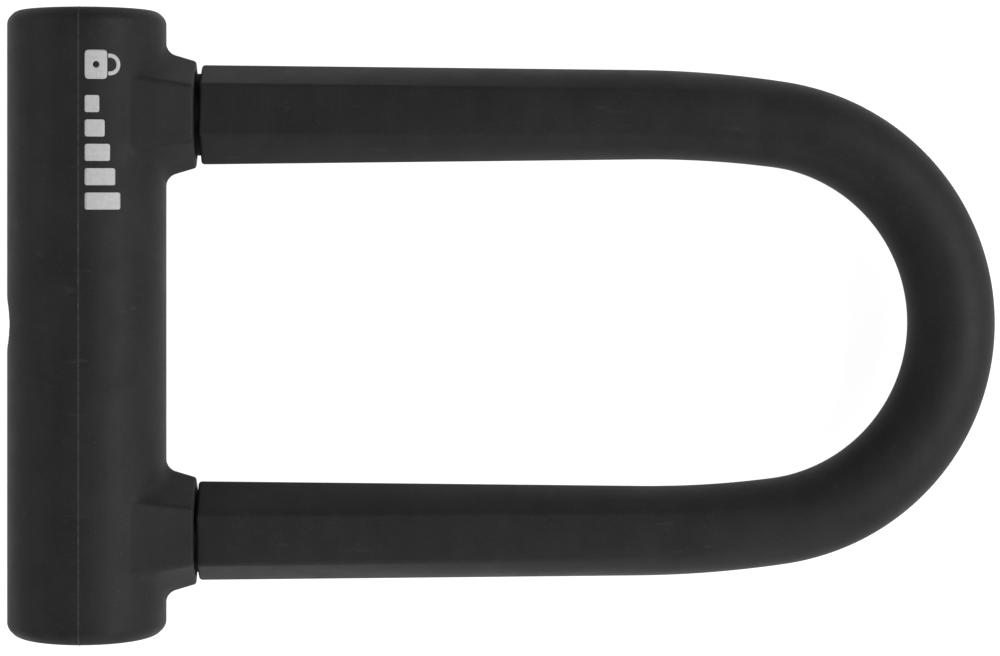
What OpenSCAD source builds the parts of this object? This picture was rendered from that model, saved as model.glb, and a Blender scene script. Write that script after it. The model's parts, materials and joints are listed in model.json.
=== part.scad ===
// U lock: a steel shackle in a silicone sleeve that locks at both feet into a round crossbar.
// The origin is the middle of the crossbar's axis. +X runs along the legs to the bend,
// +Y along the crossbar to its left end as seen facing the keyhole, and +Z is up.
// The keyhole faces -X. The lock is drawn unlocked, with the shackle pushed home.

/* [Crossbar] */
// Outside diameter of the silicone cover
cover_d = 40.4; // [40:0.1:42]
// Length over the rounded ends
cover_len = 158.3; // [157:0.1:170]
// Radius of the rounded rim at each end
end_round = 3; // [1:0.1:3.5]
// Outside diameter of the steel tube inside the cover
tube_d = 34; // [34:0.1:34.4]
// Wall of the steel tube
tube_wall = 2.5; // [2:0.1:2.5]
// Thickness of the silicone over the tube's ends
end_wall = 3.6; // [3:0.1:4]
// Diameter of the opening over the keyhole
keyhole_d = 13.5; // [13.2:0.1:15]

/* [Necks] */
// Distance from the crossbar's axis to the mouth of each neck
neck_reach = 27.8; // [27:0.1:28.2]
// Size of the hexagonal mouth across its flats
neck_flats = 23.9; // [23.5:0.1:25]
// Slope of each flat in degrees
neck_taper = 14.6; // [10:0.1:16]
// Bore of the mouth
mouth_d = 21.8; // [21.4:0.1:22.2]

/* [Shackle] */
// Diameter of the steel bar
shackle_d = 14; // [13.6:0.1:14]
// Distance between the centres of the two legs
leg_spacing = 105.6; // [105:0.1:106]
// Distance from the crossbar's axis to the bar's centre at the top of the bend
shackle_reach = 219.3; // [200:0.1:260]
// Radius of the bend at the bar's centre
bend_r = 50.8; // [48:0.1:51]
// Angle that each leg turns through before the bend proper
lead_angle = 8; // [7:0.5:12]
// How far each foot passes the crossbar's axis
foot_depth = 12.3; // [11:0.1:12.3]

/* [Sleeve] */
// Diameter of the sleeve round the bend
sleeve_d = 21.8; // [21:0.1:22.4]
// Height across the flats where the sleeve starts
sleeve_flats = 21.8; // [21:0.1:23]
// Width across the side corners where the sleeve starts
sleeve_corners = 26; // [25:0.1:27]
// Width of the top and bottom flats where the sleeve starts
sleeve_top = 12.1; // [11:0.1:13]
// Distance from the crossbar's axis to where the sleeve starts
sleeve_start = 29.1; // [29:0.1:32]
// Distance from the crossbar's axis to where the sleeve has become round
sleeve_round = 181; // [120:1:190]
// Diameter of the collar that enters the mouth
collar_d = 20.8; // [20:0.1:20.8]

/* [Lock] */
// Outside diameter of the key cylinder
cylinder_d = 18; // [17.4:0.1:18]
// Diameter of the key plug
plug_d = 14; // [13.8:0.1:14]
// Number of lock discs on the key plug
disc_count = 5; // [3:1:5]
// Diameter of the sliding bolts
bolt_d = 10; // [9:0.1:10]
// Teeth of the pinion
pinion_teeth = 10; // [10:2:10]
// Tooth module of the pinion and racks
tooth_module = 0.8; // [0.8:0.1:0.8]

/* [Hidden] */
$fn = 96;

// Crossbar
cover_r = cover_d / 2;
tube_r = tube_d / 2;
bore_r = tube_r - tube_wall;
tube_end = cover_len / 2 - end_wall;
fit_gap = 0.1;
insert_r = bore_r - fit_gap;
plug_len = 6;
plug_pin_r = 2;
plug_pin_y = tube_end - plug_len / 2;
plug_pin_top = sqrt(tube_r * tube_r - plug_pin_r * plug_pin_r) - 0.03;
case_end = 43;
guide_start = case_end + 0.2;
guide_end = tube_end - plug_len - fit_gap;
keyhole_r = keyhole_d / 2;
// Where the revolved skin starts, clear of the necks and the keyhole
cover_seam = 120;

// Necks
leg_y = leg_spacing / 2;
corner_ratio = 1 / cos(30);
neck_root = 10;
neck_len = neck_reach - neck_root;
neck_tip_r = neck_flats / 2 * corner_ratio;
neck_root_r = neck_tip_r + neck_len * tan(neck_taper) * corner_ratio;
mouth_r = mouth_d / 2;
mouth_floor = neck_reach - 4.2;

// Shackle: a straight leg, a shallow lead-in arc and a tighter arc round the bend
bar_r = shackle_d / 2;
lead_r = (leg_y - bend_r * cos(lead_angle)) / (1 - cos(lead_angle));
bend_x = shackle_reach - bend_r;
lead_x = bend_x - (lead_r - bend_r) * sin(lead_angle);
foot_chamfer = 1.5;
foot_hole_r = bar_r + 0.3;
notch_half = bolt_d / 2 + 0.6;
notch_floor = leg_y - bar_r + 5.6;
band_high = 0.15;
band_half = 1.5;

// Sleeve: steps along its path, and points round its section
sleeve_bore_r = bar_r + 0.3;
leg_steps = 4;
lead_steps = 4;
bend_steps = 12;
flat_steps = 5;
ring_points = 6 * flat_steps;
collar_front = mouth_floor + 0.4;
collar_r = collar_d / 2;

// Key cylinder, along X
running = 0.05;
nose_front = -tube_r;
shell_front = -10.5;
shell_back = 2.6;
shell_r = cylinder_d / 2;
plug_r = plug_d / 2;
nose_r = plug_r - 0.8;
drum_bore_r = plug_r - 1.6;
drum_back = 4.2;
guard_thick = 1.4;
guard_r = nose_r - 1;
slot_len = 8.4;
slot_wide = 2.2;
stack_front = shell_front + 0.1;
disc_thick = 1.2;
spacer_thick = 0.4;
disc_pitch = disc_thick + spacer_thick;
disc_r = drum_bore_r - fit_gap;
stack_back = stack_front + disc_count * disc_pitch;
spacer_hole_r = slot_len / 2 + 0.2;
gate_wide = 1.9;
gate_floor = 4.6;
sidebar_wide = gate_wide - 0.1;
sidebar_low = gate_floor + 0.05;
sidebar_high = plug_r - 0.15;
sidebar_front = stack_front + 0.2;
sidebar_back = stack_back - 0.2;
clip_front = shell_back + 0.2;
clip_back = clip_front + 0.8;
clip_groove_r = plug_r - 0.8;
clip_r = plug_r + 1.3;
clip_gap_half = 30;
lock_pin_r = 1.25;
lock_pin_x = -4;
lock_pin_half = 6;
tail_pin_r = 0.75;
tail_pin_x = 0.6;

// Pinion and its fastening, along X
pinion_back = 9.5;
drive_square = 3.6;
washer_r = 3.6;
washer_thick = 0.6;
pinion_screw_r = 1;
pinion_screw_tip = 5.5;
pinion_screw_head_r = 1.9;
pinion_screw_head = 1.4;

// Teeth
pitch_r = pinion_teeth * tooth_module / 2;
pressure_angle = 25;
base_r = pitch_r * cos(pressure_angle);
addendum = 0.8 * tooth_module;
dedendum = tooth_module;
tooth_thin = 0.08;
tooth_pitch = PI * tooth_module;
thin_angle = tooth_thin / 2 / pitch_r * 180 / PI;
flank_steps = 5;

// Racks and bolts, along Y
bolt_r = bolt_d / 2;
bolt_back = 19;
bolt_tip = leg_y - bar_r - 0.9;
bolt_chamfer = 0.8;
bolt_travel = pitch_r * PI / 2;
rack_front = 4.7;
rack_back = 9.2;
rack_depth = 8;
lug_len = 7;
lug_side = 6;
rack_teeth_inner = -4;
rack_teeth_outer = 5;
rack_margin = 1.6;
rack_end = (rack_teeth_inner + 0.5) * tooth_pitch - rack_margin;
bolt_pin_r = 1.5;

// Clamshell case and its screws
room = 0.3;
screw_r = 1.5;
screw_x = 8.7;
screw_y = 37.2;
screw_head_r = 2.75;
screw_seat = 6;
screw_top = 7.9;
screw_tip = -7.5;
case_back = pinion_back + washer_thick + pinion_screw_head + room + fit_gap;

// Colours
silicone = [0.13, 0.13, 0.14];
tube_steel = [0.62, 0.63, 0.65];
hard_steel = [0.72, 0.73, 0.75];
zinc_steel = [0.78, 0.77, 0.72];
die_cast = [0.50, 0.51, 0.53];
nylon = [0.20, 0.20, 0.21];
brass = [0.80, 0.66, 0.36];

// ---- Helpers ----

module rod_x(r, x0, x1) {
    translate([x0, 0, 0])
        rotate([0, 90, 0])
            cylinder(r = r, h = x1 - x0);
}

module rod_y(r, y0, y1) {
    translate([0, y0, 0])
        rotate([-90, 0, 0])
            cylinder(r = r, h = y1 - y0);
}

module rod_z(r, z0, z1) {
    translate([0, 0, z0])
        cylinder(r = r, h = z1 - z0);
}

module block(x, y, z) {
    translate([x[0], y[0], z[0]])
        cube([x[1] - x[0], y[1] - y[0], z[1] - z[0]]);
}

// Draws its children on the left side, or mirrored on the right.
module on_side(left) {
    if (left)
        children();
    else
        mirror([0, 1, 0])
            children();
}

module on_both_sides() {
    on_side(true)
        children();
    on_side(false)
        children();
}

// ---- Crossbar ----

// Half section of the cover's outside, with both rims rounded.
module cover_profile() {
    translate([0, -cover_len / 2])
        square([cover_r - end_round, cover_len]);
    translate([0, end_round - cover_len / 2])
        square([cover_r, cover_len - 2 * end_round]);
    for (end = [-1, 1])
        translate([cover_r - end_round, end * (cover_len / 2 - end_round)])
            circle(r = end_round);
}

// Hexagonal neck with flats above and below.
module neck() {
    translate([neck_root, leg_y, 0])
        rotate([0, 90, 0])
            rotate([0, 0, 30])
                cylinder(r1 = neck_root_r, r2 = neck_tip_r, h = neck_len, $fn = 6);
}

// One moulded silicone piece: the bar's cover, both necks and the keyhole opening.
module bar_cover() {
    color(silicone)
        difference() {
            union() {
                rotate([-90, cover_seam, 0])
                    rotate_extrude()
                        cover_profile();
                on_both_sides()
                    neck();
            }
            rod_y(tube_r, -tube_end, tube_end);
            on_both_sides()
                translate([0, leg_y, 0]) {
                    rod_x(bar_r + 0.6, neck_root, mouth_floor + 1);
                    rod_x(mouth_r, mouth_floor, neck_reach + 1);
                }
            rod_x(keyhole_r, -cover_r - 1, -neck_root);
        }
}

module lock_tube() {
    color(tube_steel)
        difference() {
            rod_y(tube_r, -tube_end, tube_end);
            rod_y(bore_r, -tube_end - 1, tube_end + 1);
            on_both_sides()
                translate([0, leg_y, 0])
                    rod_x(foot_hole_r, 0, cover_r);
            rod_x(nose_r + 0.3, -cover_r, 0);
            on_both_sides()
                translate([0, plug_pin_y, 0])
                    rod_z(plug_pin_r, -cover_r, cover_r);
        }
}

// Steel disc that closes each end of the tube.
module end_plug(left) {
    color(die_cast)
        on_side(left)
            difference() {
                rod_y(bore_r, tube_end - plug_len, tube_end);
                translate([0, plug_pin_y, 0])
                    rod_z(plug_pin_r, -cover_r, cover_r);
            }
}

module end_plug_pins() {
    color(hard_steel)
        on_both_sides()
            translate([0, plug_pin_y, 0])
                rod_z(plug_pin_r, -plug_pin_top, plug_pin_top);
}

// Nylon insert that guides a shackle foot and the tip of its bolt.
module foot_guide(left) {
    color(nylon)
        on_side(left)
            difference() {
                rod_y(insert_r, guide_start, guide_end);
                translate([0, leg_y, 0])
                    rod_x(bar_r + 0.25, -foot_depth - 0.3, cover_r);
                rod_y(bolt_r + 0.2, guide_start - 1, leg_y);
            }
}

// ---- Clamshell case round the mechanism ----

// Space for one lug and its rack over the whole travel.
module rack_space() {
    block(
        [-lug_side - room, pinion_back + room],
        [bolt_back - room, bolt_back + lug_len + bolt_travel + room],
        [-rack_depth - room, lug_side + room]
    );
    block(
        [drum_back + fit_gap, pinion_back],
        [rack_end - room, bolt_back],
        [-rack_depth - room, -2]
    );
    rod_y(bolt_r + running, bolt_back, case_end + 1);
}

module case_body() {
    difference() {
        rod_y(insert_r, -case_end, case_end);
        rod_x(nose_r + fit_gap, -cover_r, 0);
        rod_x(shell_r, shell_front, shell_back);
        rod_x(clip_r + room, shell_front, drum_back + fit_gap);
        rod_x(pitch_r + addendum + room, 0, case_back);
        rack_space();
        rotate([180, 0, 0])
            rack_space();
        translate([lock_pin_x, shell_r, 0])
            rod_z(lock_pin_r, -lock_pin_half, lock_pin_half);
    }
}

module at_case_screws() {
    for (x = [-screw_x, screw_x], y = [-screw_y, screw_y])
        translate([x, y, 0])
            children();
}

module case_top() {
    color(die_cast)
        difference() {
            case_body();
            block([-cover_r, cover_r], [-cover_len, cover_len], [-cover_r, 0]);
            at_case_screws() {
                rod_z(screw_r + fit_gap, -1, cover_r);
                rod_z(screw_head_r + fit_gap, screw_seat, cover_r);
            }
        }
}

module case_bottom() {
    color(die_cast)
        difference() {
            case_body();
            block([-cover_r, cover_r], [-cover_len, cover_len], [0, cover_r]);
            at_case_screws()
                rod_z(screw_r, screw_tip, 1);
        }
}

module case_screws() {
    color(zinc_steel)
        at_case_screws()
            difference() {
                union() {
                    rod_z(screw_r, screw_tip, screw_seat);
                    rod_z(screw_head_r, screw_seat, screw_top);
                }
                translate([0, 0, screw_top - 1])
                    cylinder(r = screw_r, h = 2, $fn = 6);
            }
}

// ---- Key cylinder ----

module cylinder_shell() {
    color(brass)
        difference() {
            rod_x(shell_r, shell_front, shell_back);
            rod_x(plug_r + running, shell_front - 1, shell_back + 1);
            block(
                [sidebar_front - fit_gap, sidebar_back + fit_gap],
                [-plug_r - 1, 0],
                [-gate_wide / 2, gate_wide / 2]
            );
            translate([lock_pin_x, shell_r, 0])
                rod_z(lock_pin_r, -shell_r, shell_r);
        }
}

// Pin that stops the shell turning in the case.
module cylinder_pin() {
    color(hard_steel)
        translate([lock_pin_x, shell_r, 0])
            rod_z(lock_pin_r, -lock_pin_half, lock_pin_half);
}

// Key slot through everything from x0 to x1.
module key_slot(x0, x1) {
    block([x0, x1], [-slot_len / 2, slot_len / 2], [-slot_wide / 2, slot_wide / 2]);
}

// Notch above the discs that the sidebar drops into.
module gate(x0, x1) {
    block([x0, x1], [-gate_wide / 2, gate_wide / 2], [gate_floor, plug_r + 1]);
}

module plug_drum() {
    color(brass)
        difference() {
            union() {
                rod_x(nose_r, nose_front, shell_front);
                rod_x(plug_r, shell_front, drum_back);
            }
            rod_x(guard_r, nose_front - 1, nose_front + guard_thick);
            key_slot(nose_front, stack_front + 1);
            rod_x(drum_bore_r, stack_front, drum_back + 1);
            gate(sidebar_front - fit_gap, sidebar_back + fit_gap);
            difference() {
                rod_x(plug_r + 1, clip_front, clip_back);
                rod_x(clip_groove_r, clip_front - 1, clip_back + 1);
            }
            translate([tail_pin_x, 0, 0])
                rod_z(tail_pin_r, -plug_r - 1, plug_r + 1);
        }
}

// Hardened disc at the face of the plug.
module guard_disc() {
    color(hard_steel)
        difference() {
            rod_x(guard_r, nose_front, nose_front + guard_thick);
            key_slot(nose_front - 1, nose_front + guard_thick + 1);
        }
}

module lock_disc(i) {
    x0 = stack_front + (i - 1) * disc_pitch;
    color(hard_steel)
        difference() {
            rod_x(disc_r, x0, x0 + disc_thick);
            key_slot(x0 - 1, x0 + disc_thick + 1);
            gate(x0 - 1, x0 + disc_thick + 1);
        }
}

module spacer_ring(i) {
    x0 = stack_front + (i - 1) * disc_pitch + disc_thick;
    color(brass)
        difference() {
            rod_x(drum_bore_r, x0, x0 + spacer_thick);
            rod_x(spacer_hole_r, x0 - 1, x0 + spacer_thick + 1);
            block(
                [x0 - 1, x0 + spacer_thick + 1],
                [-gate_wide / 2, gate_wide / 2],
                [0, plug_r]
            );
        }
}

module sidebar() {
    color(hard_steel)
        block(
            [sidebar_front, sidebar_back],
            [-sidebar_wide / 2, sidebar_wide / 2],
            [sidebar_low, sidebar_high]
        );
}

// Closes the back of the disc stack and carries the pinion on a square.
module plug_tail() {
    half = drive_square / 2;
    color(hard_steel)
        difference() {
            union() {
                rod_x(drum_bore_r, stack_back, drum_back);
                block([drum_back, pinion_back], [-half, half], [-half, half]);
            }
            rod_x(pinion_screw_r, pinion_screw_tip, pinion_back + 1);
            translate([tail_pin_x, 0, 0])
                rod_z(tail_pin_r, -plug_r, plug_r);
        }
}

module tail_pin() {
    color(hard_steel)
        translate([tail_pin_x, 0, 0])
            rod_z(tail_pin_r, fit_gap - plug_r, plug_r - fit_gap);
}

// Open ring in the drum's groove, behind the shell.
module circlip() {
    reach = clip_r + 1;
    color(hard_steel)
        difference() {
            rod_x(clip_r, clip_front, clip_back);
            rod_x(clip_groove_r, clip_front - 1, clip_back + 1);
            translate([clip_front - 1, 0, 0])
                rotate([0, 90, 0])
                    linear_extrude(height = clip_back - clip_front + 2)
                        polygon([
                            [0, 0],
                            [-reach * cos(clip_gap_half), reach * sin(clip_gap_half)],
                            [-reach * 1.2, 0],
                            [-reach * cos(clip_gap_half), -reach * sin(clip_gap_half)]
                        ]);
        }
}

// ---- Pinion and racks ----

// Angle of an involute from its start on the base circle to radius r.
function involute(r) = let (a = acos(base_r / r)) tan(a) * 180 / PI - a;

half_tooth = 90 / pinion_teeth - thin_angle + involute(pitch_r);

// Points of one side of a tooth, from root to tip, as radius and angle from its middle.
flank = concat(
    [[pitch_r - dedendum, half_tooth]],
    [for (i = [0 : flank_steps])
        let (r = base_r + (pitch_r + addendum - base_r) * i / flank_steps)
        [r, half_tooth - involute(r)]]
);

function polar(r, a) = [r * cos(a), r * sin(a)];

tooth_outline = concat(
    [for (p = flank) polar(p[0], -p[1])],
    [for (i = [len(flank) - 1 : -1 : 0]) polar(flank[i][0], flank[i][1])]
);

module pinion() {
    half = drive_square / 2;
    color(hard_steel)
        difference() {
            translate([drum_back, 0, 0])
                rotate([0, 90, 0])
                    linear_extrude(height = pinion_back - drum_back) {
                        circle(r = pitch_r - dedendum);
                        for (i = [0 : pinion_teeth - 1])
                            rotate(i * 360 / pinion_teeth)
                                polygon(concat([[0, 0]], tooth_outline));
                    }
            block([0, pinion_back + 1], [-half, half], [-half, half]);
        }
}

module pinion_washer() {
    color(zinc_steel)
        difference() {
            rod_x(washer_r, pinion_back, pinion_back + washer_thick);
            rod_x(pinion_screw_r, pinion_back - 1, pinion_back + 1);
        }
}

module pinion_screw() {
    head = pinion_back + washer_thick;
    color(zinc_steel)
        difference() {
            union() {
                rod_x(pinion_screw_r, pinion_screw_tip, head);
                rod_x(pinion_screw_head_r, head, head + pinion_screw_head);
            }
            translate([head + pinion_screw_head - 0.7, 0, 0])
                rotate([0, 90, 0])
                    cylinder(r = pinion_screw_r, h = 1, $fn = 6);
        }
}

// Toothed edge of the left rack in Y and Z, with a gap between teeth at Y = 0.
module rack_outline() {
    half = tooth_pitch / 4 - tooth_thin / 2;
    tip = half - addendum * tan(pressure_angle);
    root = half + dedendum * tan(pressure_angle);
    top = -pitch_r + addendum;
    low = -pitch_r - dedendum;
    translate([rack_end, -rack_depth])
        square([bolt_back - rack_end, rack_depth + low]);
    for (i = [rack_teeth_inner : rack_teeth_outer])
        translate([(i + 0.5) * tooth_pitch, 0])
            polygon([[-root, low], [-tip, top], [tip, top], [root, low]]);
}

module rack_left() {
    color(hard_steel)
        difference() {
            union() {
                translate([rack_front, 0, 0])
                    rotate([90, 0, 90])
                        linear_extrude(height = rack_back - rack_front)
                            rack_outline();
                block(
                    [-lug_side, rack_back],
                    [bolt_back, bolt_back + lug_len],
                    [-rack_depth, lug_side]
                );
            }
            rod_y(bolt_r, bolt_back - 1, bolt_back + lug_len + 1);
            translate([0, bolt_back + lug_len / 2, 0])
                rod_z(bolt_pin_r, -rack_depth - 1, lug_side + 1);
        }
}

module bolt_left() {
    color(hard_steel)
        difference() {
            union() {
                rod_y(bolt_r, bolt_back, bolt_tip - bolt_chamfer);
                translate([0, bolt_tip - bolt_chamfer, 0])
                    rotate([-90, 0, 0])
                        cylinder(r1 = bolt_r, r2 = bolt_r - bolt_chamfer, h = bolt_chamfer);
            }
            translate([0, bolt_back + lug_len / 2, 0])
                rod_z(bolt_pin_r, -bolt_d, bolt_d);
        }
}

module bolt_pin_left() {
    color(zinc_steel)
        translate([0, bolt_back + lug_len / 2, 0])
            rod_z(bolt_pin_r, -rack_depth, lug_side);
}

// ---- Shackle ----

// A low band, hidden under the sleeve, over the joint where the centreline changes radius.
module joint_band(at) {
    translate([at[0], at[1], 0])
        rotate([0, 0, -at[2]])
            rod_x(bar_r + band_high, -band_half, band_half);
}

// Rod along an arc about the origin, from angle a0 to a1.
module arc_rod(arc_r, a0, a1) {
    rotate([0, 0, a0])
        rotate_extrude(angle = a1 - a0)
            translate([arc_r, 0])
                circle(r = bar_r);
}

module shackle_leg() {
    translate([foot_chamfer - foot_depth, leg_y, 0])
        rotate([0, 90, 0])
            rotate([0, 0, 90])
                cylinder(r = bar_r, h = lead_x + foot_depth - foot_chamfer);
    translate([-foot_depth, leg_y, 0])
        rotate([0, 90, 0])
            rotate([0, 0, 90])
                cylinder(r1 = bar_r - foot_chamfer, r2 = bar_r, h = foot_chamfer);
    translate([lead_x, leg_y - lead_r, 0])
        arc_rod(lead_r, 90 - lead_angle, 90);
    joint_band(on_lead(0));
    joint_band(on_lead(lead_angle));
}

// Bent bar with a notch for the bolt on the inner side of each foot.
module shackle_bar() {
    color(hard_steel)
        difference() {
            union() {
                on_both_sides()
                    shackle_leg();
                translate([bend_x, 0, 0])
                    arc_rod(bend_r, lead_angle - 90, 90 - lead_angle);
            }
            on_both_sides()
                block(
                    [-notch_half, notch_half],
                    [leg_y - bar_r - 1, notch_floor],
                    [-bar_r - 1, bar_r + 1]
                );
        }
}

// Points [x, y, heading] of the centreline, and the sleeve's path from left foot to right.
function on_leg(f) = [sleeve_start + f * (lead_x - sleeve_start), leg_y, 0];
function on_lead(a) = [lead_x + lead_r * sin(a), leg_y - lead_r * (1 - cos(a)), a];
function on_bend(a) = [bend_x + bend_r * sin(a), bend_r * cos(a), a];

half_path = concat(
    [for (i = [0 : leg_steps - 1]) on_leg(i / leg_steps)],
    [for (i = [0 : lead_steps - 1]) on_lead(lead_angle * i / lead_steps)],
    [for (i = [0 : bend_steps - 1]) on_bend(lead_angle + (90 - lead_angle) * i / bend_steps)]
);
sleeve_path = concat(
    half_path,
    [on_bend(90)],
    [for (i = [len(half_path) - 1 : -1 : 0])
        let (p = half_path[i])
        [p[0], -p[1], 180 - p[2]]]
);

// The section is a hexagon at the feet that turns gradually into a circle.
section_corners = [
    [sleeve_corners / 2, 0],
    [sleeve_top / 2, sleeve_flats / 2],
    [-sleeve_top / 2, sleeve_flats / 2],
    [-sleeve_corners / 2, 0],
    [-sleeve_top / 2, -sleeve_flats / 2],
    [sleeve_top / 2, -sleeve_flats / 2]
];

function hexagon_point(i) =
    let (
        corner = floor(i / flat_steps),
        f = i / flat_steps - corner
    )
    section_corners[corner] * (1 - f) + section_corners[(corner + 1) % 6] * f;

function outer_point(i, roundness) =
    let (p = hexagon_point(i))
    p * (1 - roundness) + p / norm(p) * sleeve_d / 2 * roundness;

function inner_point(i) =
    let (p = hexagon_point(i))
    p / norm(p) * sleeve_bore_r;

function roundness_at(x) = min(1, (x - sleeve_start) / (sleeve_round - sleeve_start));

// Places a section point [across, up] square to the path.
function place(at, p) = [at[0] + p[0] * sin(at[2]), at[1] + p[0] * cos(at[2]), p[1]];

// Two triangles for each patch between neighbouring rows a and b of a tube.
function patches(a, b) = [
    for (i = [0 : ring_points - 1])
        let (j = (i + 1) % ring_points)
        each [[a + i, a + j, b + j], [a + i, b + j, b + i]]
];

module shackle_sleeve() {
    rows = len(sleeve_path);
    inner = rows * ring_points;
    points = concat(
        [for (at = sleeve_path, i = [0 : ring_points - 1])
            place(at, outer_point(i, roundness_at(at[0])))],
        [for (at = sleeve_path, i = [0 : ring_points - 1])
            place(at, inner_point(i))]
    );
    faces = concat(
        [for (k = [0 : rows - 2]) each patches(k * ring_points, (k + 1) * ring_points)],
        [for (k = [0 : rows - 2]) each patches(inner + (k + 1) * ring_points, inner + k * ring_points)],
        patches(inner, 0),
        patches((rows - 1) * ring_points, inner + (rows - 1) * ring_points)
    );
    color(silicone)
        polyhedron(points = points, faces = faces);
}

// Round collar at the start of the sleeve, which enters the neck's mouth.
module collar(left) {
    color(nylon)
        on_side(left)
            translate([0, leg_y, 0])
                difference() {
                    rod_x(collar_r, collar_front, sleeve_start);
                    rod_x(bar_r, 0, sleeve_start + 1);
                }
}

bar_cover();
lock_tube();
end_plug(true);  // end_plug_left
end_plug(false);  // end_plug_right
end_plug_pins();
foot_guide(true);  // foot_guide_left
foot_guide(false);  // foot_guide_right
case_top();
case_bottom();
case_screws();
cylinder_shell();
cylinder_pin();
plug_drum();
guard_disc();
for (i = [1 : disc_count]) {
    lock_disc(i);
    spacer_ring(i);
}
sidebar();
plug_tail();
tail_pin();
circlip();
pinion();
pinion_washer();
pinion_screw();
bolt_left();
rack_left();
bolt_pin_left();
rotate([180, 0, 0]) bolt_left();  // bolt_right
rotate([180, 0, 0]) rack_left();  // rack_right
rotate([180, 0, 0]) bolt_pin_left();  // bolt_pin_right
shackle_bar();
shackle_sleeve();
collar(true);  // collar_left
collar(false);  // collar_right
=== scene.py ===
# A U lock: a silicone-covered crossbar and shackle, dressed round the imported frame.
import json
import math

import bpy
import numpy as np
from mathutils import Matrix, Vector


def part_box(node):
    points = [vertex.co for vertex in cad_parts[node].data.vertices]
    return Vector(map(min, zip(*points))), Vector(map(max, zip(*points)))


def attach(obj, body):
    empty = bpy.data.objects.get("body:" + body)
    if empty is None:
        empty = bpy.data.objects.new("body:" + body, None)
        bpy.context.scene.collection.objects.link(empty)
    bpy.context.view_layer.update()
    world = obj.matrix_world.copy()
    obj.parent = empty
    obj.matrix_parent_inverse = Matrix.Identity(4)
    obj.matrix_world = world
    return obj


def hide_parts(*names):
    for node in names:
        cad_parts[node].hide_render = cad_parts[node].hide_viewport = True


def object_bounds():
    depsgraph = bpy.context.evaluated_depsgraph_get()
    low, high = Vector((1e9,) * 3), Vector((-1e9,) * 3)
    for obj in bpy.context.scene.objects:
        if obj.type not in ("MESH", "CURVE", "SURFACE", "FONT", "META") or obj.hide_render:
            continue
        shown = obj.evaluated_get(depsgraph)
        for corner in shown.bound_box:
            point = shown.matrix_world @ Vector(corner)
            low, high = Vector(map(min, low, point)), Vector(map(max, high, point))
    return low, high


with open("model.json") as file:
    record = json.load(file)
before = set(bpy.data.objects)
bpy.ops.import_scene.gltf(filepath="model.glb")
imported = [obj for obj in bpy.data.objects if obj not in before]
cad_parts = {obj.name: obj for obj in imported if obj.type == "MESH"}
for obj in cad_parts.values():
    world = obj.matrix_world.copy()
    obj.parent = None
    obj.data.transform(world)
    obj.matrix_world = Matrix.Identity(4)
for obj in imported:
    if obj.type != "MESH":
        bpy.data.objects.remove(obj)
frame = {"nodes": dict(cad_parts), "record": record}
cad_low, cad_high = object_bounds()

MM = 0.001


# ---------------------------------------------------------------- sizes, in mm

def corners(node):
    """Lowest and highest corner of a CAD node in mm."""
    low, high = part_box(node)
    return [round(v / MM, 2) for v in low], [round(v / MM, 2) for v in high]


cover_high = corners("bar_cover")[1]
tube_high = corners("lock_tube")[1]
sleeve_low, sleeve_high = corners("shackle_sleeve")
collar_low, collar_high = corners("collar_left")

COVER_R = cover_high[2]
COVER_HALF = cover_high[1]
NECK_REACH = cover_high[0]
TUBE_R = tube_high[2]
TUBE_HALF = tube_high[1]
LEG_Y = (collar_low[1] + collar_high[1]) / 2
SLEEVE_START = sleeve_low[0]
SLEEVE_END = sleeve_high[0]
FLOOR_Z = cad_low.z

# The cover's rims
RIM_CUT = 2.3
RIM_SOFT = 0.9

# The hexagonal necks, from the barrel to the lip, and the fillet round their roots
NECK_APOTHEM = 11.95
NECK_SLOPE = 0.26
NECK_EDGE = 1.9
NECK_LIP = 0.55
NECK_ROOT = 8
NECK_FILLET = 3.4

# The mouth that takes the collar, and the throat that takes the shackle's foot
MOUTH_R = 10.9
MOUTH_FLOOR = NECK_REACH - 4.2
MOUTH_LIP = 0.4
THROAT_R = 7.6

# The keyhole and the moulding seam
KEYHOLE_R = 6.75
KEYHOLE_LIP = 0.7
SEAM_HIGH = 0.09
SEAM_HALF = 0.16

# A distance beyond everything, for a field that doesn't count
FAR = 100

# The sleeve's path: a straight leg, a gentle lead and the bend, on each side
SLEEVE_R = 10.9
BEND_R = 50.8
LEAD_ANGLE = math.radians(8)
BEND_X = SLEEVE_END - SLEEVE_R - BEND_R
LEAD_R = (LEG_Y - BEND_R * math.cos(LEAD_ANGLE)) / (1 - math.cos(LEAD_ANGLE))
LEAD_X = BEND_X - (LEAD_R - BEND_R) * math.sin(LEAD_ANGLE)
RIGHT_REACH = 0.7
LEG = LEAD_X - SLEEVE_START
LEAD = LEAD_R * LEAD_ANGLE
HALF_PATH = LEG + LEAD + BEND_R * (math.pi / 2 - LEAD_ANGLE)
WHOLE_PATH = 2 * HALF_PATH + RIGHT_REACH

# The sleeve's section: a hexagon at the feet that is round from SLEEVE_ROUND on
SLEEVE_BORE_R = 7.3
BORE_LEAD = (2.0, 0.4)
SECTION_SIDE = 12.95
SECTION_TOP = 6.45
SECTION_EDGE = 1.5
SLEEVE_ROUND = 181
SLEEVE_LIP = 0.9
SECTION_TURN = math.radians(-5.7)

# The printed mark: where it starts and stands, and how far the ink reaches out and in
PRINT_START = 68.5
PRINT_FOOT = 1.6
PRINT_HIGH = 0.05
PRINT_SUNK = -0.22

# Its padlock
LOCK_MIDDLE = 3.9
LOCK_WIDE = 7.2
LOCK_TALL = 5.6
LOCK_HOLE_R = 0.8
LOCK_FOOT = 5.85
LOCK_SPRING = 6.3
LOCK_INNER_R = 1.7
LOCK_OUTER_R = 2.7

# Its rising bars
BAR_COUNT = 5
BARS_START = 11.5
BAR_STEP = 6.0
BAR_WIDE = 4.2
BAR_FIRST = 3.6
BAR_RISE = 1.35


# ---------------------------------------------------------------- meshes

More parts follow.
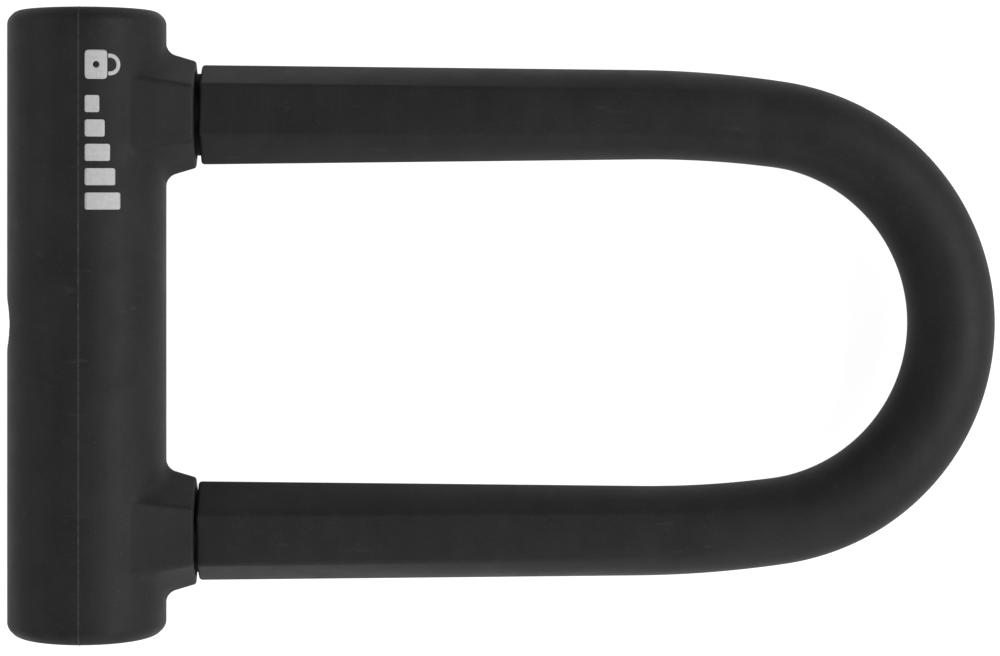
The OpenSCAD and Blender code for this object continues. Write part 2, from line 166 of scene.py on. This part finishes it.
def add_mesh(name, points_mm, faces):
    """A smooth-shaded object at the origin from points in mm."""
    mesh = bpy.data.meshes.new(name)
    points = np.asarray(points_mm, float) * MM
    mesh.from_pydata(points.tolist(), [], [list(map(int, f)) for f in faces])
    mesh.validate()
    mesh.polygons.foreach_set("use_smooth", [True] * len(mesh.polygons))
    mesh.update()
    obj = bpy.data.objects.new(name, mesh)
    bpy.context.scene.collection.objects.link(obj)
    return obj


def strip_faces(rows, columns, first=0, closed=False):
    """Quads of a grid of points, numbered row by row from first."""
    faces = []
    for r in range(rows - 1):
        for c in range(columns if closed else columns - 1):
            d = (c + 1) % columns
            a = first + r * columns
            faces.append((a + c, a + d, a + columns + d, a + columns + c))
    return faces


# ---------------------------------------------------------------- fields of signed distance

def round_cut(a, b, radius):
    """What lies inside both fields, with the edge between them rounded."""
    u = np.maximum(radius + a, 0)
    v = np.maximum(radius + b, 0)
    return np.minimum(-radius, np.maximum(a, b)) + np.hypot(u, v)


def hexagon(across, up, apothem):
    """A hexagon with flats above and below and corners at its sides."""
    px, py = np.abs(across), np.abs(up)
    fold = 2 * np.minimum(0.5 * py - math.sqrt(0.75) * px, 0)
    px = px + math.sqrt(0.75) * fold
    py = py - 0.5 * fold
    half_side = apothem / math.sqrt(3)
    px = px - np.clip(px, -half_side, half_side)
    py = py - apothem
    return np.hypot(px, py) * np.sign(py)


def bar_field(p):
    """The round bar with a softened chamfer at each rim and a fine moulding seam at X = 0."""
    x, y, z = p.T
    barrel = np.hypot(x, z) - COVER_R
    cap = np.abs(y) - COVER_HALF
    chamfer = (barrel + cap + RIM_CUT) / math.sqrt(2)
    bar = np.maximum(round_cut(barrel, chamfer, RIM_SOFT), round_cut(cap, chamfer, RIM_SOFT))
    return bar + SEAM_HIGH * (1 - np.exp(-(x / SEAM_HALF) ** 2))


def neck_field(p):
    """Both hexagonal necks, tapering to a thin rounded lip."""
    x, y, z = p.T
    apothem = NECK_APOTHEM + NECK_SLOPE * (NECK_REACH - x)
    side = hexagon(np.abs(y) - LEG_Y, z, apothem - NECK_EDGE) - NECK_EDGE
    side = side / math.hypot(1, NECK_SLOPE)
    return round_cut(side, x - NECK_REACH, NECK_LIP)


def gradient(field, p, step=0.01):
    """Slope of a field at each point."""
    columns = []
    for axis in np.eye(3):
        columns.append((field(p + axis * step) - field(p - axis * step)) / (2 * step))
    return np.stack(columns, axis=1)


def rolled_join(first, second, radius, p):
    """What lies inside either field, with the fillet that a ball of that radius leaves.

    The second field counts only past NECK_ROOT, where it comes out of the first."""
    a = first(p)
    b = np.where(p[:, 0] > NECK_ROOT, second(p), FAR)
    joined = np.minimum(a, b)
    near = (a < radius) & (b < radius) & (joined > -radius)
    q = p[near]
    cosine = np.sum(gradient(first, q) * gradient(second, q), axis=1)
    cosine = np.clip(cosine, -0.98, 0.98)
    ra, rb = radius - a[near], radius - b[near]
    touches = (ra > cosine * rb) & (rb > cosine * ra)
    span = np.sqrt((ra * ra + rb * rb - 2 * cosine * ra * rb) / (1 - cosine * cosine))
    joined[near] = np.where(touches, radius - span, joined[near])
    return joined


def cover_field(p):
    """The silicone cover: the bar and its necks, less the tube, the mouths and the keyhole."""
    solid = rolled_join(bar_field, neck_field, NECK_FILLET, p)
    x, y, z = p.T
    tube = np.maximum(np.hypot(x, z) - TUBE_R, np.abs(y) - TUBE_HALF)
    from_leg = np.hypot(np.abs(y) - LEG_Y, z)
    mouth = np.maximum(from_leg - MOUTH_R, MOUTH_FLOOR - x)
    throat = np.maximum(from_leg - THROAT_R, NECK_ROOT - x)
    keyhole = np.maximum(np.hypot(y, z) - KEYHOLE_R, x + NECK_ROOT)
    solid = np.maximum(solid, -tube)
    solid = round_cut(solid, -mouth, MOUTH_LIP)
    solid = np.maximum(solid, -throat)
    return round_cut(solid, -keyhole, KEYHOLE_LIP)


# ---------------------------------------------------------------- meshing a field

def grid_lines(*spans):
    """Grid coordinates from spans of (start, stop, step), each ending where the next starts."""
    parts = []
    for start, stop, step in spans:
        count = max(1, round((stop - start) / step))
        parts.append(np.linspace(start, stop, count, endpoint=False))
    parts.append([spans[-1][1]])
    return np.concatenate(parts)


def crossed_cells(inside):
    """The grid cells that the surface passes through."""
    shape = inside.shape
    corners_in = np.zeros([n - 1 for n in shape], int)
    for i in (0, 1):
        for j in (0, 1):
            for k in (0, 1):
                corners_in += inside[
                    i : shape[0] - 1 + i, j : shape[1] - 1 + j, k : shape[2] - 1 + k
                ]
    return (corners_in > 0) & (corners_in < 8)


def cell_points(grid, values, cells):
    """One point to a cell: the mean of where the surface crosses the cell's edges."""
    total = np.zeros((len(cells), 3))
    hits = np.zeros(len(cells))
    for axis in range(3):
        u, v = (axis + 1) % 3, (axis + 2) % 3
        for du in (0, 1):
            for dv in (0, 1):
                low = cells.copy()
                low[:, u] += du
                low[:, v] += dv
                high = low.copy()
                high[:, axis] += 1
                a, b = values[tuple(low.T)], values[tuple(high.T)]
                crossed = (a < 0) != (b < 0)
                t = np.where(crossed, a / np.where(crossed, a - b, 1), 0)
                at = grid[tuple(low.T)] + t[:, None] * (grid[tuple(high.T)] - grid[tuple(low.T)])
                total += at * crossed[:, None]
                hits += crossed
    return total / hits[:, None]


def cell_quads(inside, number):
    """A quad of four cells' points for each grid edge that the surface crosses."""
    quads = []
    for axis in range(3):
        u, v = (axis + 1) % 3, (axis + 2) % 3
        first = np.take(inside, range(inside.shape[axis] - 1), axis=axis)
        second = np.take(inside, range(1, inside.shape[axis]), axis=axis)
        edges = np.argwhere(first != second)
        leaving = first[tuple(edges.T)]
        ring = []
        for du, dv in ((-1, -1), (0, -1), (0, 0), (-1, 0)):
            cell = edges.copy()
            cell[:, u] += du
            cell[:, v] += dv
            ring.append(number[tuple(cell.T)])
        ring = np.stack(ring, axis=1)
        ring[~leaving] = ring[~leaving][:, ::-1]
        quads.append(ring)
    return np.concatenate(quads)


def surface_net(field, lines):
    """Points and quads of the surface where a field is zero, one point to a grid cell."""
    grid = np.stack(np.meshgrid(*lines, indexing="ij"), axis=-1)
    values = field(grid.reshape(-1, 3)).reshape(grid.shape[:3])
    inside = values < 0
    active = crossed_cells(inside)
    cells = np.argwhere(active)
    number = np.full(active.shape, -1)
    number[active] = np.arange(len(cells))
    return cell_points(grid, values, cells), cell_quads(inside, number)


def settle(field, points, rounds):
    """Moves points along the field's slope onto its zero surface."""
    for _ in range(rounds):
        value = field(points)
        slope = gradient(field, points)
        length = np.maximum(np.sum(slope * slope, axis=1), 0.05)
        points = points - slope * (value / length)[:, None]
    return points


def relax(field, points, quads, weight, rounds):
    """Evens out the quads by sliding each point along the surface."""
    starts = quads.ravel()
    ends = np.roll(quads, -1, axis=1).ravel()
    for _ in range(rounds):
        total = np.zeros_like(points)
        count = np.zeros(len(points))
        for a, b in ((starts, ends), (ends, starts)):
            np.add.at(total, a, points[b])
            np.add.at(count, a, 1)
        shift = total / count[:, None] - points
        slope = gradient(field, points)
        slope /= np.maximum(np.linalg.norm(slope, axis=1), 1e-6)[:, None]
        shift -= slope * np.sum(shift * slope, axis=1)[:, None]
        points = settle(field, points + shift * weight(points)[:, None], 1)
    return points


def make_cover():
    """The silicone cover, meshed more finely at the seam, the necks and the rims."""
    y_lines = grid_lines(
        (0, 8, 0.5),
        (8, 33, 1.0),
        (33, 73, 0.55),
        (73, COVER_HALF + 0.6, 0.45),
    )
    y_lines = np.concatenate([-y_lines[:0:-1], y_lines]) + 0.013
    x_lines = grid_lines(
        (-COVER_R - 0.8, -0.6, 0.8),
        (-0.6, 0.6, 0.1),
        (0.6, 15, 0.7),
        (15, 23, 0.5),
        (23, NECK_REACH + 0.8, 0.35),
    )
    z_lines = grid_lines((-COVER_R - 0.8, COVER_R + 0.8, 0.62))
    points, quads = surface_net(cover_field, (x_lines, y_lines, z_lines))
    points = settle(cover_field, points, 4)

    def weight(p):
        """0 along the seam, where the grid's own lines are kept."""
        return 0.5 * np.clip((np.abs(p[:, 0]) - 0.7) / 1.5, 0, 1)

    points = relax(cover_field, points, quads, weight, 8)
    points = settle(cover_field, points, 2)
    return add_mesh("cover_skin", points, quads)


# ---------------------------------------------------------------- sleeve

def rounded_tip(before, tip, after, steps):
    """Points of the arc that rounds one corner of the section."""
    back = (before - tip) / np.linalg.norm(before - tip)
    ahead = (after - tip) / np.linalg.norm(after - tip)
    half = math.acos(np.clip(back @ ahead, -1, 1)) / 2
    middle = (back + ahead) / np.linalg.norm(back + ahead)
    centre = tip + middle * SECTION_EDGE / math.sin(half)
    reach = SECTION_EDGE / math.tan(half)
    start = tip + back * reach - centre
    stop = tip + ahead * reach - centre
    points = []
    for k in range(steps + 1):
        way = start * (1 - k / steps) + stop * k / steps
        points.append(centre + way / np.linalg.norm(way) * SECTION_EDGE)
    return points


def section(corner_steps=8, flat_steps=9):
    """Points round the hexagonal section as [across, up], with rounded corners."""
    tips = np.array([
        [SECTION_SIDE, 0],
        [SECTION_TOP, SLEEVE_R],
        [-SECTION_TOP, SLEEVE_R],
        [-SECTION_SIDE, 0],
        [-SECTION_TOP, -SLEEVE_R],
        [SECTION_TOP, -SLEEVE_R],
    ])
    arcs = []
    for i in range(6):
        arcs.append(rounded_tip(tips[i - 1], tips[i], tips[(i + 1) % 6], corner_steps))
    points = []
    for i in range(6):
        points += arcs[i]
        start, stop = arcs[i][-1], arcs[(i + 1) % 6][0]
        for k in range(1, flat_steps):
            points.append(start * (1 - k / flat_steps) + stop * k / flat_steps)
    return np.array(points)


def path_point(s):
    """The centreline at distance s from the left end: x, y and heading.

    The right end reaches a little nearer to its neck than the left one."""
    if s > 2 * HALF_PATH:
        return SLEEVE_START - (s - 2 * HALF_PATH), -LEG_Y, math.pi
    on_right = s > HALF_PATH
    if on_right:
        s = 2 * HALF_PATH - s
    if s < LEG:
        x, y, a = SLEEVE_START + s, LEG_Y, 0.0
    elif s < LEG + LEAD:
        a = (s - LEG) / LEAD_R
        x, y = LEAD_X + LEAD_R * math.sin(a), LEG_Y - LEAD_R * (1 - math.cos(a))
    else:
        a = LEAD_ANGLE + (s - LEG - LEAD) / BEND_R
        x, y = BEND_X + BEND_R * math.sin(a), BEND_R * math.cos(a)
    return (x, -y, math.pi - a) if on_right else (x, y, a)


def place(at, across, up):
    """A section point square to the path."""
    x, y, a = at
    return np.stack([x + across * math.sin(a), y + across * math.cos(a), up], axis=-1)


def lip_steps(steps=6):
    """Pairs of (distance from the sleeve's end, inset) round the end's rounded lip."""
    pairs = []
    for k in range(steps + 1):
        turn = math.pi / 2 * k / steps
        pairs.append((SLEEVE_LIP * (1 - math.sin(turn)), SLEEVE_LIP * (1 - math.cos(turn))))
    return pairs


def make_sleeve(outer_rings=330, inner_rings=200):
    """A hexagonal sleeve that turns round in the bend, with a bore and rounded end lips."""
    outline = section()
    angle = np.arctan2(outline[:, 1], outline[:, 0])
    circle = np.stack([np.cos(angle), np.sin(angle)], axis=1)

    def skin(s, inset=0):
        at = path_point(s)
        roundness = np.clip((at[0] - SLEEVE_START) / (SLEEVE_ROUND - SLEEVE_START), 0, 1)
        shape = outline * (1 - roundness) + circle * SLEEVE_R * roundness
        size = np.linalg.norm(shape, axis=1)
        shape = shape * ((size - inset) / size)[:, None]
        turn = SECTION_TURN * (1 - roundness)
        across = shape[:, 0] * math.cos(turn) - shape[:, 1] * math.sin(turn)
        up = shape[:, 0] * math.sin(turn) + shape[:, 1] * math.cos(turn)
        return place(at, across, up)

    def bore(s):
        return place(path_point(s), circle[:, 0] * SLEEVE_BORE_R, circle[:, 1] * SLEEVE_BORE_R)

    def end_rings(end, inward):
        """Rings from inside the bore, over the end face and round its lip."""
        rings = [bore(end + inward * depth) for depth in BORE_LEAD]
        for part in (1 / 4, 1 / 2):
            rings.append(bore(end) * (1 - part) + skin(end, SLEEVE_LIP) * part)
        for depth, inset in reversed(lip_steps()):
            rings.append(skin(end + inward * depth, inset))
        return rings

    rings = end_rings(0, 1)
    for s in np.linspace(SLEEVE_LIP, WHOLE_PATH - SLEEVE_LIP, outer_rings + 1)[1:-1]:
        rings.append(skin(s))
    rings += end_rings(WHOLE_PATH, -1)[::-1]
    for s in np.linspace(WHOLE_PATH - BORE_LEAD[0], BORE_LEAD[0], inner_rings)[1:-1]:
        rings.append(bore(s))

    count = len(outline)
    last = (len(rings) - 1) * count
    faces = strip_faces(len(rings), count, closed=True)
    for c in range(count):
        d = (c + 1) % count
        faces.append((last + c, last + d, d, c))
    return add_mesh("sleeve_skin", np.concatenate(rings), faces)


# ---------------------------------------------------------------- printed mark

def on_cover(along, across, height):
    """A point over the cover's skin: along -Y from the print's start, across from its foot."""
    angle = (PRINT_FOOT + across) / COVER_R
    r = COVER_R + height
    return (r * math.sin(angle), PRINT_START - along, r * math.cos(angle))


def printed(rows):
    """Points and faces of a thin solid patch, from rows of (along, across) points."""
    n, m = len(rows), len(rows[0])
    points = []
    for height in (PRINT_HIGH, PRINT_SUNK):
        for row in rows:
            points += [on_cover(a, c, height) for a, c in row]
    top = [f[::-1] for f in strip_faces(n, m)]
    low = strip_faces(n, m, first=n * m)
    rim = list(range(m))
    rim += [r * m + m - 1 for r in range(1, n)]
    rim += [(n - 1) * m + c for c in range(m - 2, -1, -1)]
    rim += [r * m for r in range(n - 2, 0, -1)]
    sides = []
    for i, a in enumerate(rim):
        b = rim[(i + 1) % len(rim)]
        sides.append((a, b, b + n * m, a + n * m))
    return points, top + low + sides


def bar_rows(start, wide, tall, corner=0.5, steps=16, cells=12):
    """A rounded bar that stands on the print's foot line."""
    rows = []
    for i in range(steps + 1):
        a = wide * (1 - math.cos(math.pi * i / steps)) / 2
        edge = min(a, wide - a)
        inset = corner - math.sqrt(max(0, corner**2 - max(0, corner - edge) ** 2))
        rows.append([
            (start + a, inset + (tall - 2 * inset) * k / cells)
            for k in range(cells + 1)
        ])
    return rows


def shackle_rows(middle, foot, spring, inner, outer, steps=28):
    """The padlock's shackle as one strip: up one leg, round the arc and down the other."""
    rows = []
    radii = np.linspace(outer, inner, 5)
    for up in np.linspace(foot, spring, 5)[:-1]:
        rows.append([(middle + r, up) for r in radii])
    for i in range(steps + 1):
        angle = math.pi * i / steps
        rows.append([
            (middle + r * math.cos(angle), spring + r * math.sin(angle))
            for r in radii
        ])
    for up in np.linspace(spring, foot, 5)[1:]:
        rows.append([(middle - r, up) for r in radii])
    return rows


def padlock_rows(centre, wide, tall, hole_r, power=8, steps=96):
    """The padlock's body: a rounded rectangle round a small round hole, as closed rows."""
    rows = []
    for i in list(range(steps)) + [0]:
        c = math.cos(2 * math.pi * i / steps)
        s = math.sin(2 * math.pi * i / steps)
        edge_r = (abs(2 * c / wide) ** power + abs(2 * s / tall) ** power) ** (-1 / power)
        rows.append([
            (centre[0] + r * c, centre[1] + r * s)
            for r in np.linspace(hole_r, edge_r, 9)
        ])
    return rows


def make_print():
    """A padlock and five rising bars, printed along the cover."""
    patches = [
        padlock_rows((LOCK_MIDDLE, LOCK_TALL / 2), LOCK_WIDE, LOCK_TALL, LOCK_HOLE_R),
        shackle_rows(LOCK_MIDDLE, LOCK_FOOT, LOCK_SPRING, LOCK_INNER_R, LOCK_OUTER_R),
    ]
    for i in range(BAR_COUNT):
        patches.append(bar_rows(BARS_START + i * BAR_STEP, BAR_WIDE, BAR_FIRST + i * BAR_RISE))
    points, faces = [], []
    for rows in patches:
        new_points, new_faces = printed(rows)
        faces += [tuple(v + len(points) for v in f) for f in new_faces]
        points += new_points
    return add_mesh("cover_print", points, faces)


# ---------------------------------------------------------------- materials

class Shader:
    """A small helper round one material's nodes."""

    def __init__(self, name):
        self.material = bpy.data.materials.new(name)
        self.material.use_nodes = True
        self.tree = self.material.node_tree
        self.surface = self.tree.nodes["Principled BSDF"]
        self.place = self.node("ShaderNodeTexCoord").outputs["Object"]

    def node(self, kind, **values):
        made = self.tree.nodes.new(kind)
        for key, value in values.items():
            setattr(made, key, value)
        return made

    def link(self, output, target):
        self.tree.links.new(output, target)

    def noise(self, scale, detail=3, roughness=0.5, stretch=(1, 1, 1)):
        """Noise from 0 to 1 in object space; scale is in features per metre."""
        mapping = self.node("ShaderNodeMapping")
        mapping.inputs["Scale"].default_value = stretch
        self.link(self.place, mapping.inputs["Vector"])
        noise = self.node("ShaderNodeTexNoise")
        noise.inputs["Scale"].default_value = scale
        noise.inputs["Detail"].default_value = detail
        noise.inputs["Roughness"].default_value = roughness
        self.link(mapping.outputs["Vector"], noise.inputs["Vector"])
        return noise.outputs["Fac"]

    def ramp(self, source, stops):
        """A colour ramp with stops of (position, grey or colour)."""
        ramp = self.node("ShaderNodeValToRGB")
        band = ramp.color_ramp
        while len(band.elements) < len(stops):
            band.elements.new(0.5)
        for element, (position, colour) in zip(band.elements, stops):
            element.position = position
            grey = isinstance(colour, (int, float))
            element.color = (colour,) * 3 + (1,) if grey else (*colour, 1)
        self.link(source, ramp.inputs["Fac"])
        return ramp.outputs["Color"]

    def mix(self, factor, first, second, blend="MIX"):
        """Mixes two colours, each a socket or a tuple; the factor is a socket or a number."""
        mix = self.node("ShaderNodeMix", data_type="RGBA", blend_type=blend)
        for value, socket in ((factor, mix.inputs[0]), (first, mix.inputs[6]), (second, mix.inputs[7])):
            if hasattr(value, "is_output"):
                self.link(value, socket)
            elif isinstance(value, tuple):
                socket.default_value = (*value, 1)
            else:
                socket.default_value = value
        return mix.outputs[2]

    def bump(self, source, strength, distance, under=None):
        """A bumped normal, on top of another one if under is given."""
        bump = self.node("ShaderNodeBump")
        bump.inputs["Strength"].default_value = strength
        bump.inputs["Distance"].default_value = distance
        self.link(source, bump.inputs["Height"])
        if under is not None:
            self.link(under, bump.inputs["Normal"])
        return bump.outputs["Normal"]

    def set(self, **values):
        """Sets the surface's sockets by name, with _ for a space; a socket value is linked."""
        for key, value in values.items():
            socket = self.surface.inputs[key.replace("_", " ")]
            if hasattr(value, "is_output"):
                self.link(value, socket)
            else:
                socket.default_value = value


def silicone_material():
    """Matte black silicone: mottled, dusty, scuffed here and there, with a highlight painted along the
    moulding seam.
    """
    m = Shader("silicone")
    mottle = m.ramp(m.noise(55, detail=5, roughness=0.62), [(0.3, 0.0080), (0.7, 0.0120)])
    streaks = m.ramp(m.noise(240, detail=3, stretch=(1, 0.12, 1)), [(0.35, 0.88), (0.65, 1.0)])
    base = m.mix(1.0, mottle, streaks, blend="MULTIPLY")
    dust = m.ramp(m.noise(2300, detail=3, roughness=0.7), [(0.60, 0.0), (0.74, 1.0)])
    colour = m.mix(dust, base, (0.026, 0.026, 0.027))
    scuffs = m.ramp(m.noise(420, detail=4, stretch=(0.25, 1, 1)), [(0.66, 0.0), (0.74, 0.35)])
    colour = m.mix(scuffs, colour, (0.022, 0.022, 0.022))
    # painted highlight: a paler colour along the seam's crest stands in for the light that the raised
    # ridge catches
    colour = m.mix(seam_highlight_mask(m), colour, (0.036, 0.036, 0.036))
    rough = m.ramp(m.noise(140, detail=5, roughness=0.65), [(0.25, 0.50), (0.75, 0.62)])
    grain = m.bump(m.noise(3600, detail=3, roughness=0.65), 0.4, 0.00006)
    wave = m.bump(m.noise(45, detail=2), 0.15, 0.0006, under=grain)
    m.set(
        Base_Color=colour,
        Roughness=rough,
        Normal=wave,
        Specular_IOR_Level=0.08,
        Sheen_Weight=0.01,
        Sheen_Roughness=0.6,
    )
    return m.material


def seam_highlight_mask(m):
    """1 along the crest of the moulding seam at X = 0, where a highlight is painted, broken up by
    patchy noise.
    """
    split = m.node("ShaderNodeSeparateXYZ")
    m.link(m.place, split.inputs["Vector"])
    away = m.node("ShaderNodeMath", operation="ABSOLUTE")
    m.link(split.outputs["X"], away.inputs[0])
    crest = m.node("ShaderNodeMapRange")
    crest.inputs["From Min"].default_value = 0.00018
    crest.inputs["From Max"].default_value = 0.00008
    m.link(away.outputs["Value"], crest.inputs["Value"])
    # noise that breaks up the painted highlight along the seam into patches
    highlight_breakup = m.ramp(m.noise(500, detail=4, roughness=0.7), [(0.38, 0.15), (0.62, 1.0)])
    return m.mix(1.0, crest.outputs["Result"], highlight_breakup, blend="MULTIPLY")


def ink_material():
    """Pale grey screen print, slightly uneven where it sits on the grain."""
    m = Shader("print_ink")
    cover = m.ramp(m.noise(900, detail=4, roughness=0.6), [(0.25, 0.235), (0.75, 0.29)])
    rough = m.ramp(m.noise(300, detail=4), [(0.3, 0.55), (0.7, 0.68)])
    grain = m.bump(m.noise(4200, detail=3), 0.3, 0.00004)
    m.set(Base_Color=cover, Roughness=rough, Normal=grain, Specular_IOR_Level=0.35)
    return m.material


def metal_material(name, dark, light, rough, stretch=(1, 1, 1)):
    """Worked metal: fine tool lines across stretch, cloudy tint and uneven polish."""
    m = Shader(name)
    cloud = m.noise(90, detail=4, roughness=0.6)
    colour = m.ramp(cloud, [(0.3, dark), (0.7, light)])
    lines = m.noise(900, detail=4, roughness=0.7, stretch=stretch)
    polish = m.ramp(lines, [(0.25, rough - 0.08), (0.75, rough + 0.10)])
    fine = m.bump(lines, 0.25, 0.00003)
    m.set(Base_Color=colour, Metallic=1.0, Roughness=polish, Normal=fine)
    return m.material


def shaded_nylon_material():
    """Black moulded nylon, made darker still as painted shade, with a faint gloss."""
    m = Shader("nylon")
    # painted shade: the nylon is black, but its colour is set far darker than the black silicone so
    # that the collars read as the shade in the gap between the necks and the sleeve
    colour = m.ramp(m.noise(120, detail=4), [(0.3, 0.0012), (0.7, 0.0022)])
    rough = m.ramp(m.noise(500, detail=4), [(0.3, 0.60), (0.7, 0.74)])
    grain = m.bump(m.noise(2600, detail=3), 0.25, 0.00004)
    m.set(Base_Color=colour, Roughness=rough, Normal=grain, Specular_IOR_Level=0.05)
    return m.material


def floor_material():
    """The opal acrylic top of a light table, lit from below."""
    m = Shader("floor")
    colour = m.ramp(m.noise(3, detail=2), [(0.3, 0.19), (0.7, 0.21)])
    m.set(Base_Color=colour, Roughness=0.9, Specular_IOR_Level=0.1)
    m.set(Emission_Color=(1, 1, 1, 1), Emission_Strength=0.92)
    return m.material


ALONG_X = (0.04, 1, 1)
ALONG_Y = (1, 0.04, 1)

materials = {
    "silicone": silicone_material(),
    "print_ink": ink_material(),
    "nylon": shaded_nylon_material(),
    "shackle_steel": metal_material(
        "shackle_steel", (0.36, 0.37, 0.38), (0.46, 0.47, 0.48), 0.32, ALONG_X
    ),
    "tube_steel": metal_material(
        "tube_steel", (0.26, 0.27, 0.28), (0.36, 0.37, 0.38), 0.42, ALONG_Y
    ),
    "hard_steel": metal_material(
        "hard_steel", (0.42, 0.42, 0.43), (0.54, 0.54, 0.55), 0.30, ALONG_X
    ),
    "zinc_steel": metal_material(
        "zinc_steel", (0.50, 0.49, 0.44), (0.62, 0.61, 0.56), 0.34
    ),
    "die_cast": metal_material(
        "die_cast", (0.30, 0.31, 0.32), (0.40, 0.41, 0.42), 0.52
    ),
    "brass": metal_material(
        "brass", (0.50, 0.36, 0.14), (0.64, 0.47, 0.20), 0.30, ALONG_X
    ),
}


def dress(obj, slot):
    """Gives a piece one slot's material."""
    obj.data.materials.clear()
    obj.data.materials.append(materials[slot])


# ---------------------------------------------------------------- pieces

cover = make_cover()
dress(cover, "silicone")
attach(cover, "crossbar")
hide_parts("bar_cover")

mark = make_print()
dress(mark, "print_ink")
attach(mark, "crossbar")

sleeve = make_sleeve()
dress(sleeve, "silicone")
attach(sleeve, "shackle")
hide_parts("shackle_sleeve")

for part in frame["record"]["subparts"]:
    node = frame["nodes"][part["node"]]
    for slot in node.material_slots:
        slot.material = materials[part["material_slot"]]


# ---------------------------------------------------------------- floor, light and camera

def make_floor():
    """A wide level square that the lock lies on."""
    half = 1500
    z = FLOOR_Z / MM
    points = [(-half, -half, z), (half, -half, z), (half, half, z), (-half, half, z)]
    floor = add_mesh("floor", points, [(0, 1, 2, 3)])
    floor.data.materials.append(floor_material())


def aim(obj, target, up=(0, 1, 0)):
    """Turns an object so that its -Z looks at the target, with its Y as near up as can be."""
    back = (obj.location - Vector(target)).normalized()
    side = Vector(up).cross(back).normalized()
    top = back.cross(side)
    turn = Matrix((side, top, back)).transposed()
    obj.rotation_mode = "QUATERNION"
    obj.rotation_quaternion = turn.to_quaternion()


def softbox(name, place_m, target, size, watts):
    """A rectangular area light that faces the target."""
    light = bpy.data.lights.new(name, "AREA")
    light.shape = "RECTANGLE"
    light.size, light.size_y = size
    light.energy = watts
    obj = bpy.data.objects.new(name, light)
    obj.location = place_m
    bpy.context.scene.collection.objects.link(obj)
    aim(obj, target)


make_floor()

middle = ((cad_low.x + cad_high.x) / 2, 0, 0)
softbox("key_softbox", (0.14, -0.5, 0.24), middle, (0.6, 0.25), 2.0)
softbox("end_softbox", (1.03, 0.03, 0.85), middle, (0.8, 1.1), 27)
softbox("fill_softbox", (-0.3, 0.03, 0.17), (0, 0, 0), (0.15, 0.5), 0.8)

world = bpy.data.worlds.new("studio")
world.use_nodes = True
world.node_tree.nodes["Background"].inputs["Color"].default_value = (1, 1, 1, 1)
world.node_tree.nodes["Background"].inputs["Strength"].default_value = 0.36
bpy.context.scene.world = world
bpy.context.scene.view_settings.view_transform = "Standard"

SENSOR = 36
VIEW_WIDTH = 0.2539
CAMERA_AT = Vector((0.0728, 0.0314, 0.660))
AXIS_MEETS = Vector((0.0728, 0.0314, 0))
lens = bpy.data.cameras.new("camera")
lens.sensor_width = SENSOR
lens.lens = SENSOR * (CAMERA_AT - AXIS_MEETS).length / VIEW_WIDTH
lens.shift_x = 0.1262
lens.shift_y = -0.129
lens.clip_start, lens.clip_end = 0.01, 10
camera = bpy.data.objects.new("camera", lens)
camera.location = CAMERA_AT
bpy.context.scene.collection.objects.link(camera)
aim(camera, AXIS_MEETS)
bpy.context.scene.camera = camera
